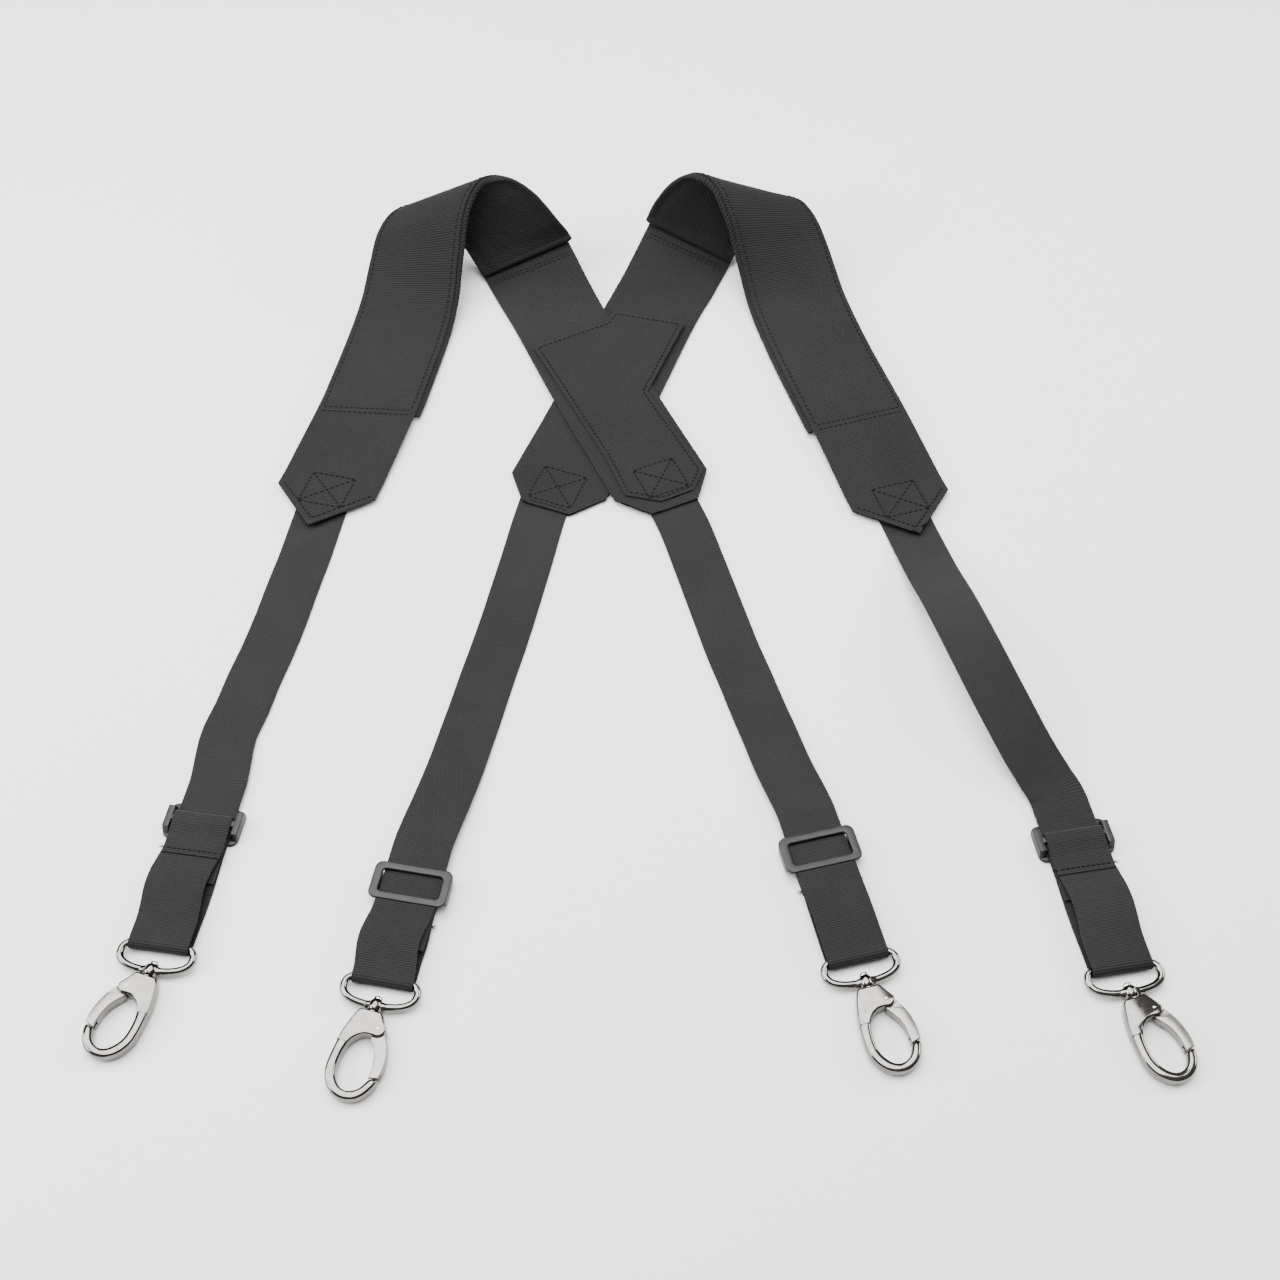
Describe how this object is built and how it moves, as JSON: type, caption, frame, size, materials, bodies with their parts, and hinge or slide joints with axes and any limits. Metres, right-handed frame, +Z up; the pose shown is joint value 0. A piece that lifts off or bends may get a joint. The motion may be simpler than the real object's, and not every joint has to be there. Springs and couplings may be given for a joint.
{
  "type": "tool belt suspenders",
  "caption": "X-back suspenders for a tool belt: wide padded shoulder straps sewn to narrow webbing legs, each with a slider, a D-ring and a swivel trigger hook.",
  "frame": {"origin": "middle of the laid-out pair, on the floor", "axes": "+X across the pair from left to right as laid out, +Y from the hooks to the shoulder bends, +Z up"},
  "size_m": [0.6522, 0.7634, 0.0777],
  "materials": {
    "wide_webbing": "woven polypropylene webbing, ribbed across",
    "leg_webbing": "woven polypropylene webbing, ribbed across",
    "patch_cloth": "woven cloth",
    "pad_foam": "closed-cell foam behind cloth",
    "pad_lining": "mesh lining with a rolled hem",
    "slider_plastic": "satin moulded plastic",
    "dark_metal": "polished, dark nickel plated",
    "gate_metal": "brushed, dark nickel plated"
  },
  "bodies": {
    "harness": {"left_shoulder_strap": "wide_webbing", "left_pad_foam": "pad_foam", "left_pad_lining": "pad_lining", "right_shoulder_strap": "wide_webbing", "right_pad_foam": "pad_foam", "right_pad_lining": "pad_lining", "back_patch": "patch_cloth", "front_left_leg_webbing": "leg_webbing", "back_left_leg_webbing": "leg_webbing", "back_right_leg_webbing": "leg_webbing", "front_right_leg_webbing": "leg_webbing"},
    "front_left_adjuster": {"front_left_slider": "slider_plastic", "front_left_end_loop": "leg_webbing"},
    "front_left_ring_body": {"front_left_ring": "dark_metal"},
    "front_left_hook_body": {"front_left_swivel_rivet": "dark_metal", "front_left_hook": "dark_metal", "front_left_gate_pin": "gate_metal", "front_left_gate_spring": "gate_metal"},
    "front_left_gate_body": {"front_left_gate": "gate_metal"},
    "back_left_adjuster": {"back_left_slider": "slider_plastic", "back_left_end_loop": "leg_webbing"},
    "back_left_ring_body": {"back_left_ring": "dark_metal"},
    "back_left_hook_body": {"back_left_swivel_rivet": "dark_metal", "back_left_hook": "dark_metal", "back_left_gate_pin": "gate_metal", "back_left_gate_spring": "gate_metal"},
    "back_left_gate_body": {"back_left_gate": "gate_metal"},
    "back_right_adjuster": {"back_right_slider": "slider_plastic", "back_right_end_loop": "leg_webbing"},
    "back_right_ring_body": {"back_right_ring": "dark_metal"},
    "back_right_hook_body": {"back_right_swivel_rivet": "dark_metal", "back_right_hook": "dark_metal", "back_right_gate_pin": "gate_metal", "back_right_gate_spring": "gate_metal"},
    "back_right_gate_body": {"back_right_gate": "gate_metal"},
    "front_right_adjuster": {"front_right_slider": "slider_plastic", "front_right_end_loop": "leg_webbing"},
    "front_right_ring_body": {"front_right_ring": "dark_metal"},
    "front_right_hook_body": {"front_right_swivel_rivet": "dark_metal", "front_right_hook": "dark_metal", "front_right_gate_pin": "gate_metal", "front_right_gate_spring": "gate_metal"},
    "front_right_gate_body": {"front_right_gate": "gate_metal"}
  },
  "joints": [
    {"name": "front_left_adjust", "type": "slide", "parent": "harness", "child": "front_left_adjuster", "axis": [-0.1478, -0.989, 0], "range_m": [-0.015, 0.025]},
    {"name": "front_left_ring_fold", "type": "hinge", "parent": "front_left_adjuster", "child": "front_left_ring_body", "pos_m": [-0.29045, -0.28273, 0.00465], "axis": [-0.989, 0.1478, 0], "range_deg": [-120, 120]},
    {"name": "front_left_hook_swivel", "type": "hinge", "parent": "front_left_ring_body", "child": "front_left_hook_body", "pos_m": [-0.29296, -0.29954, 0.00465], "axis": [-0.3502, -0.9367, 0], "continuous": true},
    {"name": "front_left_gate_open", "type": "hinge", "parent": "front_left_hook_body", "child": "front_left_gate_body", "pos_m": [-0.30471, -0.31042, 0.00465], "axis": [0, 0, 1], "range_deg": [0, 25], "stiffness_Nm_per_rad": 0.08, "springref_deg": -20.05},
    {"name": "back_left_adjust", "type": "slide", "parent": "harness", "child": "back_left_adjuster", "axis": [-0.1796, -0.9837, 0], "range_m": [-0.015, 0.025]},
    {"name": "back_left_ring_fold", "type": "hinge", "parent": "back_left_adjuster", "child": "back_left_ring_body", "pos_m": [-0.15245, -0.30573, 0.00465], "axis": [-0.9837, 0.1796, 0], "range_deg": [-120, 120]},
    {"name": "back_left_hook_swivel", "type": "hinge", "parent": "back_left_ring_body", "child": "back_left_hook_body", "pos_m": [-0.1555, -0.32245, 0.00465], "axis": [-0.2646, -0.9644, 0], "continuous": true},
    {"name": "back_left_gate_open", "type": "hinge", "parent": "back_left_hook_body", "child": "back_left_gate_body", "pos_m": [-0.15234, -0.33815, 0.00465], "axis": [0, 0, -1], "range_deg": [0, 25], "stiffness_Nm_per_rad": 0.08, "springref_deg": -20.05},
    {"name": "back_right_adjust", "type": "slide", "parent": "harness", "child": "back_right_adjuster", "axis": [0.24, -0.9708, 0], "range_m": [-0.015, 0.025]},
    {"name": "back_right_ring_fold", "type": "hinge", "parent": "back_right_adjuster", "child": "back_right_ring_body", "pos_m": [0.13305, -0.29053, 0.00465], "axis": [-0.9708, -0.24, 0], "range_deg": [-120, 120]},
    {"name": "back_right_hook_swivel", "type": "hinge", "parent": "back_right_ring_body", "child": "back_right_hook_body", "pos_m": [0.13713, -0.30703, 0.00465], "axis": [0.2569, -0.9664, 0], "continuous": true},
    {"name": "back_right_gate_open", "type": "hinge", "parent": "back_right_hook_body", "child": "back_right_gate_body", "pos_m": [0.14776, -0.319, 0.00465], "axis": [0, 0, -1], "range_deg": [0, 25], "stiffness_Nm_per_rad": 0.08, "springref_deg": -20.05},
    {"name": "front_right_adjust", "type": "slide", "parent": "harness", "child": "front_right_adjuster", "axis": [0.163, -0.9866, 0], "range_m": [-0.015, 0.025]},
    {"name": "front_right_ring_fold", "type": "hinge", "parent": "front_right_adjuster", "child": "front_right_ring_body", "pos_m": [0.29165, -0.29683, 0.00465], "axis": [-0.9866, -0.163, 0], "range_deg": [-120, 120]},
    {"name": "front_right_hook_swivel", "type": "hinge", "parent": "front_right_ring_body", "child": "front_right_hook_body", "pos_m": [0.29442, -0.3136, 0.00465], "axis": [0.3153, -0.949, 0], "continuous": true},
    {"name": "front_right_gate_open", "type": "hinge", "parent": "front_right_hook_body", "child": "front_right_gate_body", "pos_m": [0.30576, -0.3249, 0.00465], "axis": [0, 0, -1], "range_deg": [0, 25], "stiffness_Nm_per_rad": 0.08, "springref_deg": -20.05}
  ]
}
